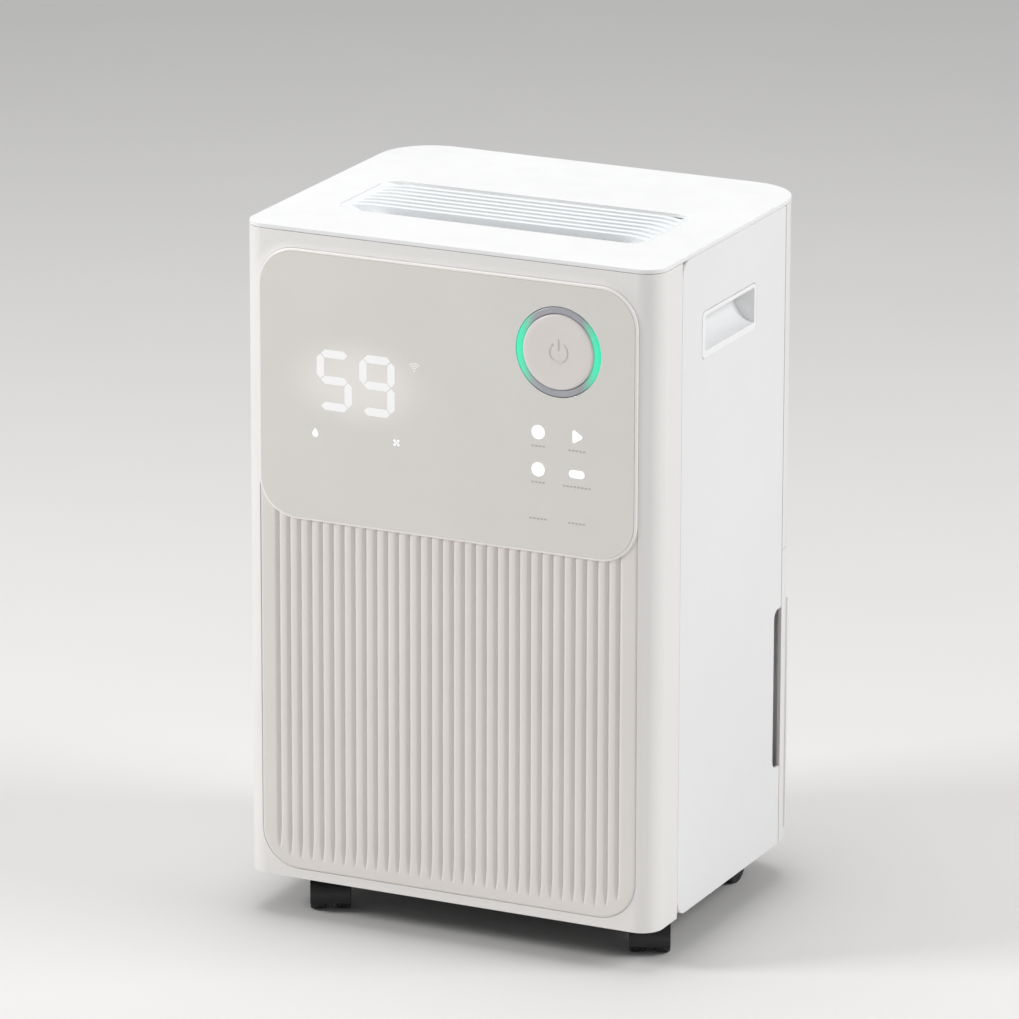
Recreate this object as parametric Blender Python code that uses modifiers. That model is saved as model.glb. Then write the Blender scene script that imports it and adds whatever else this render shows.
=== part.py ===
"""A 12 litre-a-day compressor dehumidifier on four twin-wheel casters.

Metres, +Z up. The front faces -Y and +X is to the right of a person who faces it. The origin is on
the floor, under the middle of the body.
"""
import math

import bmesh
import bpy
from mathutils import Matrix, Vector

# Body: a rounded box, split by a seam near the front and another near the rear.
HALF_W = 0.150
HALF_D = 0.1215
BODY_LOW = 0.028
BODY_TOP = 0.478
FRONT_R = 0.015
REAR_R = 0.0375
SEAM_Y = 0.0835
WALL = 0.0025
GAP = 0.0003

# Front: a frame, a fluted insert, and a control panel laid over the insert's upper part.
FRAME_WALL = 0.004
RECESS_Y = -0.1198
INSERT_HALF_W = 0.137
INSERT_LOW = 0.035
INSERT_TOP = 0.4645
INSERT_R = 0.027
INSERT_FRONT_Y = -0.1219
FLUTE_PITCH = 0.008
FLUTE_COUNT = 32
FLUTE_WIDTH = 0.002
FLUTE_DEPTH = 0.0012
FLUTE_LOW = 0.044
FLUTE_TOP = 0.310
PANEL_LOW = 0.280
BEZEL_FRONT_Y = -0.1242
GLASS_FRONT_Y = -0.1245
GLASS_INSET = 0.0012

# Power button and its light ring.
BUTTON = (0.0809, 0.4172)
BUTTON_R = 0.0252
BUTTON_FRONT_Y = -0.1255
RING_INNER_R = 0.0256
RING_OUTER_R = 0.0300
BUTTON_STEM_R = 0.006

# Top: a cover with an outlet opening and a louvre.
COVER_LOW = 0.4750
OUTLET = (-0.1125, 0.1125, -0.0635, 0.0205)
OUTLET_R = 0.014
LOUVRE_PITCH = 0.009
LOUVRE_COUNT = 7
LOUVRE_SLOT = 0.005

# Side panels and the hand grips in them.
SIDE_CORNER_R = 0.012
GRIP = (-0.052, 0.035, 0.402, 0.434)
GRIP_MOUTH = (-0.047, 0.032, 0.407, 0.431)
GRIP_DEPTH = 0.0165
GRIP_LIP_X = 0.1465
GRIP_POCKET_TOP = 0.446
NOTCH = (0.072, 0.084, 0.196)

# Rear: upper panel with the air intake, water tank below it.
SPLIT_Z = 0.236
WINDOW = (-0.092, 0.092, 0.262, 0.442)
GRILLE = (-0.098, 0.098, 0.256, 0.448)
GRILLE_REAR_Y = 0.1255
GRILLE_ROWS = 17
GRILLE_PITCH = 0.010
GRILLE_SLOT = 0.006

# Water tank, which pulls out to the rear.
TANK_LOW = 0.034
TANK_RIM = 0.200
TANK_HALF_W = 0.128
TANK_FRONT = 0.008
TANK_REAR = 0.1145
BAIL_Y = 0.072
BAIL_Z = 0.209
BAIL_REACH = 0.024
BAIL_HALF_W = 0.041
BAIL_R = 0.0025
FLOAT_PIVOT = (0.107, 0.024, 0.150)

# Water path: the drip tray's spout stands over a hole in the tank's lid.
SPOUT = (0.070, 0.080)
DECK_Z = 0.2375

# Fan, on an axis along Y.
FAN_Z = 0.352
FAN_R = 0.076
SCROLL = (-0.112, 0.112, -0.062, 0.020, 0.262, 0.4697)

# Casters: name, stem position, and the direction the wheels trail in.
TRAY_LOW = 0.0285
TRAY_TOP = 0.0335
WHEEL_R = 0.0125
WHEEL_SIDES = 24
WHEEL_WIDTH = 0.010
WHEEL_GAP = 0.007
TRAIL = 0.010
STEM_R = 0.005
CASTERS = (
    ("front_left", -0.1055, -0.084, -64.5),
    ("front_right", 0.123, -0.068, -64.5),
    ("rear_left", -0.112, 0.062, 160.0),
    ("rear_right", 0.112, 0.062, 90.0),
)


# --- Scene helpers -------------------------------------------------------------------------------

def clear_scene():
    """Remove every object, so that the script can run twice."""
    for obj in list(bpy.data.objects):
        bpy.data.objects.remove(obj, do_unlink=True)


def make_collection(name):
    """A new collection in the scene."""
    coll = bpy.data.collections.new(name)
    bpy.context.scene.collection.children.link(coll)
    return coll


clear_scene()
PARTS = make_collection("dehumidifier")
CUTTERS = make_collection("cutters")


def make_material(name, color, roughness, metallic=0.0):
    """A plain Principled material."""
    mat = bpy.data.materials.new(name)
    mat.use_nodes = True
    shader = mat.node_tree.nodes["Principled BSDF"]
    shader.inputs["Base Color"].default_value = (*color, 1.0)
    shader.inputs["Roughness"].default_value = roughness
    shader.inputs["Metallic"].default_value = metallic
    return mat


WHITE = make_material("white_plastic", (0.82, 0.82, 0.82), 0.45)
FLUTED = make_material("fluted_plastic", (0.70, 0.66, 0.62), 0.5)
GLASS = make_material("panel_gloss", (0.64, 0.63, 0.59), 0.15)
RING = make_material("ring_translucent", (0.40, 0.42, 0.46), 0.3)
BLACK = make_material("black_plastic", (0.01, 0.01, 0.01), 0.5)
TANK = make_material("tank_plastic", (0.72, 0.74, 0.76), 0.35)
STEEL = make_material("steel", (0.6, 0.6, 0.6), 0.35, 1.0)
PAINTED = make_material("black_paint", (0.02, 0.02, 0.02), 0.4)
ALUMINIUM = make_material("aluminium", (0.75, 0.76, 0.78), 0.4, 1.0)
COPPER = make_material("copper", (0.72, 0.36, 0.2), 0.3, 1.0)
RUBBER = make_material("rubber", (0.03, 0.03, 0.03), 0.8)
BOARD = make_material("circuit_board", (0.02, 0.12, 0.05), 0.5)
MESH = make_material("filter_mesh", (0.2, 0.21, 0.22), 0.8)


def add_part(obj, mat):
    """Give a piece its material and put it with the parts."""
    obj.data.materials.clear()
    obj.data.materials.append(mat)
    for coll in list(obj.users_collection):
        coll.objects.unlink(obj)
    PARTS.objects.link(obj)
    return obj


def set_origin(obj, point):
    """Move an object's origin without moving its shape."""
    shift = obj.matrix_basis.to_3x3().inverted() @ (Vector(point) - obj.location)
    obj.data.transform(Matrix.Translation(-shift))
    obj.location = point
    return obj


def combine(obj, operation, others):
    """Boolean an object with others, which become its hidden guides."""
    for other in others:
        for coll in list(other.users_collection):
            coll.objects.unlink(other)
        CUTTERS.objects.link(other)
        other.hide_render = True
        other.display_type = "WIRE"
        step = obj.modifiers.new(operation.lower(), "BOOLEAN")
        step.operation = operation
        step.object = other
    return obj


def cut(obj, *others):
    """Take the others away from an object."""
    return combine(obj, "DIFFERENCE", others)


def join(obj, *others):
    """Add the others to an object."""
    return combine(obj, "UNION", others)


def from_bmesh(name, mesh_data, location=(0, 0, 0)):
    """A new object from a finished bmesh."""
    mesh = bpy.data.meshes.new(name)
    mesh_data.to_mesh(mesh)
    mesh_data.free()
    obj = bpy.data.objects.new(name, mesh)
    obj.location = location
    bpy.context.scene.collection.objects.link(obj)
    return obj


def curve_to_mesh(obj):
    """Replace a curve object by its mesh, with the caps welded and the faces out."""
    bpy.context.view_layer.update()
    graph = bpy.context.evaluated_depsgraph_get()
    mesh = bpy.data.meshes.new_from_object(obj.evaluated_get(graph))
    work = bmesh.new()
    work.from_mesh(mesh)
    bmesh.ops.remove_doubles(work, verts=work.verts, dist=0.00001)
    bmesh.ops.recalc_face_normals(work, faces=work.faces)
    bmesh.ops.dissolve_limit(work, angle_limit=0.001, verts=work.verts, edges=work.edges)
    work.to_mesh(mesh)
    work.free()
    name = obj.name
    matrix = obj.matrix_world.copy()
    bpy.data.objects.remove(obj, do_unlink=True)
    result = bpy.data.objects.new(name, mesh)
    bpy.context.scene.collection.objects.link(result)
    result.matrix_world = matrix
    return result


# --- Shapes --------------------------------------------------------------------------------------

def arc(centre_x, centre_y, radius, start, end, steps=6):
    """Points on an arc, angles in degrees."""
    points = []
    for i in range(steps + 1):
        angle = math.radians(start + (end - start) * i / steps)
        points.append((centre_x + radius * math.cos(angle), centre_y + radius * math.sin(angle)))
    return points


def rounded(low_x, high_x, low_y, high_y, radii, steps=6):
    """A rectangle with rounded corners; radii run counter-clockwise from the low corner."""
    if not isinstance(radii, tuple):
        radii = (radii,) * 4
    corners = (
        (low_x, low_y, 1, 1, 180),
        (high_x, low_y, -1, 1, 270),
        (high_x, high_y, -1, -1, 0),
        (low_x, high_y, 1, -1, 90),
    )
    points = []
    for (x, y, side_x, side_y, start), radius in zip(corners, radii):
        if radius == 0:
            points.append((x, y))
        else:
            centre = (x + side_x * radius, y + side_y * radius)
            points += arc(*centre, radius, start, start + 90, steps)
    return points


def circle(centre_x, centre_y, radius, steps=32):
    """Points on a full circle."""
    return arc(centre_x, centre_y, radius, 0, 360, steps)[:-1]


AXIS_BASES = {
    "X": Matrix(((0, 0, 1), (1, 0, 0), (0, 1, 0))),
    "Y": Matrix(((1, 0, 0), (0, 0, -1), (0, 1, 0))),
    "Z": Matrix.Identity(3),
}


def extrude(name, outline, low, high, axis="Z", holes=()):
    """A flat outline, drawn in the two other axes in order, extruded along an axis."""
    curve = bpy.data.curves.new(name, "CURVE")
    curve.dimensions = "2D"
    curve.fill_mode = "BOTH"
    curve.extrude = (high - low) / 2
    for points in (outline, *holes):
        spline = curve.splines.new("POLY")
        spline.points.add(len(points) - 1)
        for point, (x, y) in zip(spline.points, points):
            point.co = (x, y, 0, 1)
        spline.use_cyclic_u = True
    obj = bpy.data.objects.new(name, curve)
    bpy.context.scene.collection.objects.link(obj)
    middle = Vector([(low + high) / 2 if letter == axis else 0 for letter in "XYZ"])
    obj.matrix_world = Matrix.Translation(middle) @ AXIS_BASES[axis].to_4x4()
    return curve_to_mesh(obj)


def box(name, low_x, high_x, low_y, high_y, low_z, high_z):
    """A plain box between two corners, with its origin in the middle."""
    work = bmesh.new()
    bmesh.ops.create_cube(work, size=1)
    size = (high_x - low_x, high_y - low_y, high_z - low_z)
    bmesh.ops.scale(work, vec=size, verts=work.verts)
    middle = ((low_x + high_x) / 2, (low_y + high_y) / 2, (low_z + high_z) / 2)
    return from_bmesh(name, work, middle)


def cylinder(name, centre, radius, low, high, axis="Z", sides=32):
    """A cylinder along an axis; centre gives the two other coordinates in order."""
    work = bmesh.new()
    bmesh.ops.create_cone(work, cap_ends=True, segments=sides, radius1=radius, radius2=radius,
                          depth=high - low)
    bmesh.ops.rotate(work, verts=work.verts, matrix=AXIS_BASES[axis])
    rest = iter(centre)
    middle = [(low + high) / 2 if letter == axis else next(rest) for letter in "XYZ"]
    return from_bmesh(name, work, middle)


def turned(name, profile, location, steps=24):
    """A solid of revolution about Z; the profile runs down its outer side, from axis to axis."""
    mesh = bpy.data.meshes.new(name)
    edges = [(i, i + 1) for i in range(len(profile) - 1)]
    mesh.from_pydata([(radius, 0, z) for radius, z in profile], edges, [])
    obj = bpy.data.objects.new(name, mesh)
    obj.location = location
    bpy.context.scene.collection.objects.link(obj)
    spin = obj.modifiers.new("spin", "SCREW")
    spin.steps = steps
    spin.render_steps = steps
    spin.use_merge_vertices = True
    spin.merge_threshold = 0.00001
    return obj


def tube(name, route, radius, resolution=2):
    """A round wire or pipe through a list of points."""
    curve = bpy.data.curves.new(name, "CURVE")
    curve.dimensions = "3D"
    curve.bevel_depth = radius
    curve.bevel_resolution = resolution
    curve.use_fill_caps = True
    spline = curve.splines.new("POLY")
    spline.points.add(len(route) - 1)
    for point, place in zip(spline.points, route):
        point.co = (*place, 1)
    obj = bpy.data.objects.new(name, curve)
    bpy.context.scene.collection.objects.link(obj)
    return curve_to_mesh(obj)


def smooth_route(points, per_span=4):
    """More points on a Catmull-Rom curve through a few."""
    first, last = Vector(points[0]), Vector(points[-1])
    knots = [first * 2 - Vector(points[1])] + [Vector(p) for p in points]
    knots.append(last * 2 - Vector(points[-2]))
    route = []
    for a, b, c, d in zip(knots, knots[1:], knots[2:], knots[3:]):
        for i in range(per_span):
            t = i / per_span
            route.append(0.5 * (2 * b + (c - a) * t + (2 * a - 5 * b + 4 * c - d) * t * t
                                + (3 * b - a - 3 * c + d) * t ** 3))
    return route + [last]


def half_path(inset, radius, end_y, side):
    """The body's outline round its front (side -1) or rear (side 1), from left to right."""
    x = HALF_W - inset
    y = HALF_D - inset
    turn = radius - inset
    left = arc(-x + turn, side * (y - turn), turn, 180, 180 - side * 90)
    right = arc(x - turn, side * (y - turn), turn, side * 90, 0)
    return [(-x, end_y)] + left + right + [(x, end_y)]


def wrap(thickness, radius, end_y, side):
    """A U-shaped wall round the body's front or rear, in plan."""
    outer = half_path(0, radius, end_y, side)
    inner = half_path(thickness, radius, end_y, side)
    return outer + inner[::-1]


# --- Front ---------------------------------------------------------------------------------------

def insert_outline(inset=0.0, low=INSERT_LOW):
    """The outline that the recess, the insert and the control panel share."""
    return rounded(-INSERT_HALF_W + inset, INSERT_HALF_W - inset, low + inset, INSERT_TOP - inset,
                   INSERT_R - inset, 8)


def make_front_frame():
    """The frame: a front wall with a recess for the insert, and short side returns."""
    frame = extrude("front_frame", wrap(FRAME_WALL, FRONT_R, -SEAM_Y - GAP, -1),
                    BODY_LOW, COVER_LOW - GAP)
    tongue_x = HALF_W - WALL - GAP
    for side in (-1, 1):
        edges = sorted((side * tongue_x, side * (tongue_x - 0.0025)))
        join(frame, box("tongue", *edges, -0.100, -0.072, BODY_LOW + 0.001, COVER_LOW - 0.001))
    cut(frame, extrude("recess", insert_outline(-GAP), -0.130, RECESS_Y, "Y"))
    cut(frame, cylinder("stem_hole", BUTTON, BUTTON_STEM_R + 0.001, -0.125, -0.110, "Y", 16))
    cut(frame, extrude("cable_hole", rounded(-0.09, -0.05, 0.330, 0.350, 0.004, 3),
                       -0.125, -0.110, "Y"))
    return add_part(frame, WHITE)


def make_fluted_panel():
    """The insert: a plate with vertical grooves over its lower part."""
    back = RECESS_Y - GAP
    panel = extrude("fluted_panel", insert_outline(), INSERT_FRONT_Y, back, "Y",
                    [circle(*BUTTON, RING_OUTER_R + 0.0004)])
    first = -FLUTE_PITCH * (FLUTE_COUNT - 1) / 2
    grooves = bmesh.new()
    for i in range(FLUTE_COUNT):
        made = bmesh.ops.create_cube(grooves, size=1)["verts"]
        size = (FLUTE_WIDTH, FLUTE_DEPTH * 2, FLUTE_TOP - FLUTE_LOW)
        bmesh.ops.scale(grooves, vec=size, verts=made)
        place = (first + i * FLUTE_PITCH, INSERT_FRONT_Y, (FLUTE_TOP + FLUTE_LOW) / 2)
        bmesh.ops.translate(grooves, vec=place, verts=made)
    return add_part(cut(panel, from_bmesh("grooves", grooves)), FLUTED)


def make_control_panel():
    """The glossy touch panel and the thin bezel that holds it."""
    bezel = extrude("panel_bezel", insert_outline(0, PANEL_LOW), BEZEL_FRONT_Y,
                    INSERT_FRONT_Y - GAP, "Y", [insert_outline(0.005, PANEL_LOW)])
    ledge_y = GLASS_FRONT_Y + 0.0012
    cut(bezel, extrude("glass_seat", insert_outline(GLASS_INSET - GAP, PANEL_LOW), -0.130,
                       ledge_y + GAP, "Y"))
    add_part(bezel, FLUTED)
    glass = extrude("control_panel", insert_outline(GLASS_INSET, PANEL_LOW), GLASS_FRONT_Y,
                    ledge_y, "Y", [circle(*BUTTON, RING_OUTER_R + 0.0004)])
    add_part(glass, GLASS)


def make_button():
    """The power button, its light ring and the switch behind it."""
    ring = extrude("button_light_ring", circle(*BUTTON, RING_OUTER_R, 40), -0.1248,
                   RECESS_Y - GAP, "Y", [circle(*BUTTON, RING_INNER_R, 40)])
    add_part(ring, RING)
    button = cylinder("power_button", BUTTON, BUTTON_R, BUTTON_FRONT_Y, -0.1219, "Y", 40)
    join(button, cylinder("button_stem", BUTTON, BUTTON_STEM_R, -0.1225, -0.1150, "Y", 16))
    add_part(button, WHITE)
    half = 0.008
    x, z = BUTTON
    switch = box("button_switch", x - half, x + half, -0.1130, -0.1060, z - half, z + half)
    add_part(switch, BLACK)
    board = box("display_board", -0.120, 0.050, -0.1125, -0.1109, 0.300, 0.450)
    add_part(board, BOARD)


# --- Top -----------------------------------------------------------------------------------------

def make_top():
    """The top cover, with its outlet opening, and the louvre in it."""
    outline = rounded(-HALF_W, HALF_W, -HALF_D, HALF_D, (FRONT_R, FRONT_R, REAR_R, REAR_R), 8)
    cover = extrude("top_cover", outline, COVER_LOW, BODY_TOP, "Z", [rounded(*OUTLET, OUTLET_R)])
    add_part(cover, WHITE)
    low_x, high_x, low_y, high_y = OUTLET
    fit = rounded(low_x + GAP, high_x - GAP, low_y + GAP, high_y - GAP, OUTLET_R - GAP)
    slots = [rounded(low_x + 0.008, high_x - 0.008, low_y + 0.005, low_y + 0.016, 0.002, 2)]
    for i in range(LOUVRE_COUNT):
        slot_y = high_y - 0.011 - i * LOUVRE_PITCH
        slots.append(rounded(low_x + 0.008, high_x - 0.008, slot_y, slot_y + LOUVRE_SLOT, 0.002, 2))
    grille = extrude("outlet_grille", fit, SCROLL[5] + GAP, COVER_LOW + 0.0005, "Z", slots)
    add_part(grille, WHITE)


# --- Sides ---------------------------------------------------------------------------------------

def grip_profile(side):
    """The grip's hollow, in X and Z: a scoop up from the lower edge, then a pocket behind the lip."""
    low, high = GRIP_MOUTH[2:]
    points = [(HALF_W + 0.002, low)]
    for i in range(9):
        angle = math.radians(i * 90 / 8)
        points.append((HALF_W - GRIP_DEPTH * math.sin(angle), high - (high - low) * math.cos(angle)))
    deep = HALF_W - GRIP_DEPTH
    points += [(deep, GRIP_POCKET_TOP - 0.003), (deep + 0.003, GRIP_POCKET_TOP)]
    points += [(GRIP_LIP_X, GRIP_POCKET_TOP), (GRIP_LIP_X, high), (HALF_W + 0.002, high)]
    return [(side * x, z) for x, z in points]


def make_side(name, side):
    """A side panel and the hand grip moulded as a cup behind it."""
    outline = rounded(-SEAM_Y + GAP, SEAM_Y - GAP, BODY_LOW, COVER_LOW - GAP,
                      (SIDE_CORNER_R, 0, 0, SIDE_CORNER_R))
    faces = sorted((side * HALF_W, side * (HALF_W - WALL)))
    panel = extrude(name + "_side_panel", outline, *faces, "X", [rounded(*GRIP, 0.004, 3)])
    notch_low, notch_base, notch_top = NOTCH
    notch = rounded(notch_low, SEAM_Y + 0.02, notch_base, notch_top, (0.006, 0, 0, 0.006), 4)
    reach = sorted((side * 0.140, side * 0.160))
    add_part(cut(panel, extrude("finger_notch", notch, *reach, "X")), WHITE)

    low_y, high_y, low_z, high_z = GRIP
    back = HALF_W - GRIP_DEPTH - WALL
    inner_x = sorted((side * back, side * (HALF_W - WALL - GAP)))
    cup = box(name + "_handle_cup", *inner_x, low_y + 0.002, high_y, low_z + 0.002,
              GRIP_POCKET_TOP + WALL)
    flange = rounded(low_y + GAP, high_y - GAP, low_z + GAP, high_z - GAP, 0.0037, 3)
    face_x = sorted((side * (HALF_W - WALL - 0.002), side * HALF_W))
    join(cup, extrude("cup_flange", flange, *face_x, "X"))
    cut(cup, extrude("cup_hollow", grip_profile(side), *GRIP_MOUTH[:2], "Y"))
    add_part(cup, WHITE)


# --- Rear ----------------------------------------------------------------------------------------

def make_rear():
    """The rear panel with its intake window, cable gland and drain nozzle."""
    panel = extrude("rear_panel", wrap(WALL, REAR_R, SEAM_Y + GAP, 1), SPLIT_Z + 0.0004,
                    COVER_LOW - GAP)
    through = (0.110, 0.130, "Y")
    cut(panel, extrude("window", rounded(*WINDOW, 0.006, 3), *through))
    gland_at = (-0.104, 0.249)
    nozzle_at = (0.104, 0.249)
    cut(panel, cylinder("gland_hole", gland_at, 0.0063, *through, 20))
    cut(panel, cylinder("nozzle_hole", nozzle_at, 0.0063, *through, 20))
    add_part(panel, WHITE)

    gland = extrude("cord_gland", circle(*gland_at, 0.0060, 20), 0.1150, 0.1232, "Y",
                    [circle(*gland_at, 0.0036, 20)])
    join(gland, extrude("gland_flange", circle(*gland_at, 0.0082, 20), 0.1218, 0.1236, "Y",
                        [circle(*gland_at, 0.0036, 20)]))
    add_part(gland, RUBBER)
    nozzle = extrude("drain_nozzle", circle(*nozzle_at, 0.0060, 20), 0.1124, 0.1214, "Y",
                     [circle(*nozzle_at, 0.0042, 20)])
    add_part(nozzle, WHITE)
    cap = cylinder("drain_cap", nozzle_at, 0.0039, 0.1150, 0.1225, "Y", 20)
    join(cap, cylinder("cap_head", nozzle_at, 0.0088, 0.1218, 0.1243, "Y", 20))
    add_part(cap, RUBBER)


def make_intake():
    """The intake grille, which pulls off, and the dust filter in it."""
    low_x, high_x, low_z, high_z = WINDOW
    slots = []
    for row in range(GRILLE_ROWS):
        slot_z = low_z + 0.007 + row * GRILLE_PITCH
        for start, end in ((low_x + 0.006, -0.002), (0.002, high_x - 0.006)):
            slots.append(rounded(start, end, slot_z, slot_z + GRILLE_SLOT, 0))
    grille = extrude("intake_grille", rounded(*GRILLE, 0.010, 4), HALF_D + GAP, GRILLE_REAR_Y, "Y",
                     slots)
    fit = 0.0003
    outer = rounded(low_x + fit, high_x - fit, low_z + fit, high_z - fit, 0.0057, 3)
    inner = rounded(low_x + 0.0025, high_x - 0.0025, low_z + 0.0025, high_z - 0.0025, 0.0035, 3)
    join(grille, extrude("filter_ring", outer, 0.1165, HALF_D + 0.001, "Y", [inner]))
    add_part(grille, WHITE)
    edge = 0.0040
    mesh = box("filter_mesh", low_x + edge, high_x - edge, 0.1200, 0.1212, low_z + edge,
               high_z - edge)
    add_part(mesh, MESH)


# --- Water tank ----------------------------------------------------------------------------------

def tank_outline(inset, rear_inset):
    """The bucket's plan, with large rear corners."""
    return rounded(-TANK_HALF_W + inset, TANK_HALF_W - inset, TANK_FRONT + inset,
                   TANK_REAR - rear_inset, (0.010 - inset, 0.010 - inset, 0.0225 - inset,
                                            0.0225 - inset))


def make_tank():
    """The bucket, with the lugs that hold the float's pin."""
    tank = extrude("water_tank", tank_outline(0, 0), TANK_LOW, TANK_RIM)
    cut(tank, extrude("tank_hollow", tank_outline(WALL, WALL), TANK_LOW + 0.003, TANK_RIM + 0.01))
    pivot_x, pivot_y, pivot_z = FLOAT_PIVOT
    lug_at = 0.0136
    for side in (-1, 1):
        centre = pivot_x + side * (lug_at + 0.0015)
        lug = box("float_lug", centre - 0.0015, centre + 0.0015, TANK_FRONT + 0.001,
                  pivot_y + 0.006, pivot_z - 0.006, pivot_z + 0.006)
        join(tank, lug)
    cut(tank, cylinder("float_bore", (pivot_y, pivot_z), 0.0023, pivot_x - 0.0178,
                       pivot_x + 0.0178, "X", 12))
    return add_part(tank, TANK)


def make_tank_cover():
    """The tank's outer skin, on two shelves that reach in to the bucket; its front edges are the pulls.

    A wall behind each edge closes the finger pocket.
    """
    skin = extrude("tank_cover", wrap(WALL, REAR_R, SEAM_Y + GAP, 1), BODY_LOW, SPLIT_Z)
    shelf_path = rounded(-0.138, 0.138, 0.100, HALF_D - 0.001, (0, 0, 0.020, 0.020))
    shelf_low = TANK_LOW + 0.001
    for low, high in ((shelf_low, shelf_low + WALL), (TANK_RIM - WALL, TANK_RIM)):
        join(skin, extrude("cover_shelf", shelf_path, low, high))
    for side in (-1, 1):
        edges = sorted((side * 0.120, side * (HALF_W - 0.0012)))
        join(skin, box("pull_wall", *edges, 0.0965, 0.0985, TANK_LOW + 0.002, TANK_RIM - 0.001))
    cut(skin, extrude("bucket_room", tank_outline(-GAP, -GAP), BODY_LOW, SPLIT_Z))
    return add_part(skin, WHITE)


def make_tank_fittings():
    """The lid, the carrying bail that lies on it, and the float inside."""
    lug_x = BAIL_HALF_W + 0.005
    lid = extrude("tank_lid", tank_outline(GAP, GAP), TANK_RIM + GAP, TANK_RIM + 0.0033, "Z",
                  [circle(*SPOUT, 0.0125, 24), rounded(-0.118, -0.098, 0.018, 0.048, 0.005, 3)])
    for side in (-1, 1):
        low, high = sorted((side * (lug_x - 0.002), side * (lug_x + 0.002)))
        join(lid, box("bail_lug", low, high, BAIL_Y - 0.006, BAIL_Y + 0.006, TANK_RIM + 0.002,
                      BAIL_Z + 0.006))
        cut(lid, cylinder("bail_bore", (BAIL_Y, BAIL_Z), BAIL_R + GAP, low - 0.002, high + 0.002,
                          "X", 14))
    add_part(lid, WHITE)

    end_x = lug_x + 0.0035
    grip_y = BAIL_Y - BAIL_REACH
    turn = 0.006
    right = [(end_x, BAIL_Y), (BAIL_HALF_W, BAIL_Y)]
    right += arc(BAIL_HALF_W - turn, grip_y + turn, turn, 0, -90, 4)
    left = [(-x, y) for x, y in reversed(right)]
    bail = tube("tank_handle", [(x, y, BAIL_Z) for x, y in right + left], BAIL_R, 2)
    add_part(set_origin(bail, (0, BAIL_Y, BAIL_Z)), TANK)

    pivot_x, pivot_y, pivot_z = FLOAT_PIVOT
    block = box("tank_float", pivot_x - 0.009, pivot_x + 0.009, pivot_y + 0.004, pivot_y + 0.036,
                pivot_z - 0.010, pivot_z + 0.006)
    join(block, box("float_arm", pivot_x - 0.006, pivot_x + 0.006, pivot_y - 0.002,
                    pivot_y + 0.008, pivot_z - 0.003, pivot_z + 0.003))
    join(block, cylinder("float_pin", (pivot_y, pivot_z), 0.002, pivot_x - 0.0165,
                         pivot_x + 0.0165, "X", 12))
    add_part(set_origin(block, FLOAT_PIVOT), RING)


# --- Structure -----------------------------------------------------------------------------------

def make_base():
    """The base tray with the caster sockets, and the wall and deck round the tank bay."""
    inset = 0.0058
    outline = rounded(-HALF_W + inset, HALF_W - inset, -HALF_D + inset, HALF_D - inset,
                      (FRONT_R - inset, FRONT_R - inset, REAR_R - inset, REAR_R - inset))
    sockets = [circle(x, y, STEM_R + 0.0004, 20) for _, x, y, _ in CASTERS]
    add_part(extrude("base_tray", outline, TRAY_LOW, TRAY_TOP, "Z", sockets), BLACK)

    inset = 0.0045
    corner = REAR_R - inset
    deck = extrude("bay_partition", rounded(-HALF_W + inset + 0.002, HALF_W - inset - 0.002, 0.002,
                                            HALF_D - inset, (0, 0, corner, corner)),
                   DECK_Z, DECK_Z + WALL, "Z", [circle(*SPOUT, 0.008, 20)])
    join(deck, box("bay_wall", -0.1435, 0.1435, 0.002, 0.0045, TRAY_TOP + GAP, DECK_Z + 0.001))
    add_part(deck, BLACK)

    pivot_x, _, pivot_z = FLOAT_PIVOT
    switch = box("level_switch", pivot_x - 0.009, pivot_x + 0.009, -0.008, 0.0017,
                 pivot_z - 0.008, pivot_z + 0.008)
    add_part(switch, BLACK)


def make_drip_tray():
    """The tray under the heat exchangers, with its spout down to the tank."""
    low = DECK_Z + WALL + GAP
    tray = box("drip_tray", -0.112, 0.112, 0.050, 0.112, low, low + 0.016)
    join(tray, cylinder("spout", SPOUT, 0.005, 0.2165, low + 0.002, "Z", 16))
    cut(tray, box("tray_hollow", -0.110, 0.110, 0.052, 0.110, low + 0.002, low + 0.030))
    cut(tray, cylinder("spout_bore", SPOUT, 0.0032, 0.2100, low + 0.010, "Z", 16))
    add_part(tray, WHITE)


def make_exchanger(name, low_y, high_y):
    """A finned coil block."""
    low_z = DECK_Z + 0.0055
    block = box(name, -0.105, 0.105, low_y, high_y, low_z, 0.450)
    fins = bmesh.new()
    for i in range(13):
        made = bmesh.ops.create_cube(fins, size=1)["verts"]
        bmesh.ops.scale(fins, vec=(0.006, 0.006, 0.190), verts=made)
        place = (-0.090 + i * 0.015, high_y, (low_z + 0.450) / 2)
        bmesh.ops.translate(fins, vec=place, verts=made)
    add_part(cut(block, from_bmesh(name + "_fins", fins)), ALUMINIUM)


# --- Refrigerant circuit -------------------------------------------------------------------------

def make_compressor():
    """The hermetic compressor on three rubber feet."""
    x, y = -0.065, -0.050
    radius, low, high, dome = 0.050, 0.044, 0.200, 0.025
    profile = [(0, high)]
    for i in range(1, 5):
        angle = math.radians(i * 90 / 4)
        profile.append((radius * math.sin(angle), high - dome + dome * math.cos(angle)))
    for i in range(0, 4):
        angle = math.radians(i * 90 / 4)
        profile.append((radius * math.cos(angle), low + dome - dome * math.sin(angle)))
    profile.append((0, low))
    add_part(turned("compressor", profile, (x, y, 0)), PAINTED)
    for i in range(3):
        angle = math.radians(90 + 120 * i)
        centre = (x + 0.030 * math.cos(angle), y + 0.030 * math.sin(angle))
        foot = cylinder("compressor_foot_%d" % (i + 1), centre, 0.009, TRAY_TOP + GAP, 0.0460,
                        "Z", 16)
        add_part(foot, RUBBER)


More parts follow.
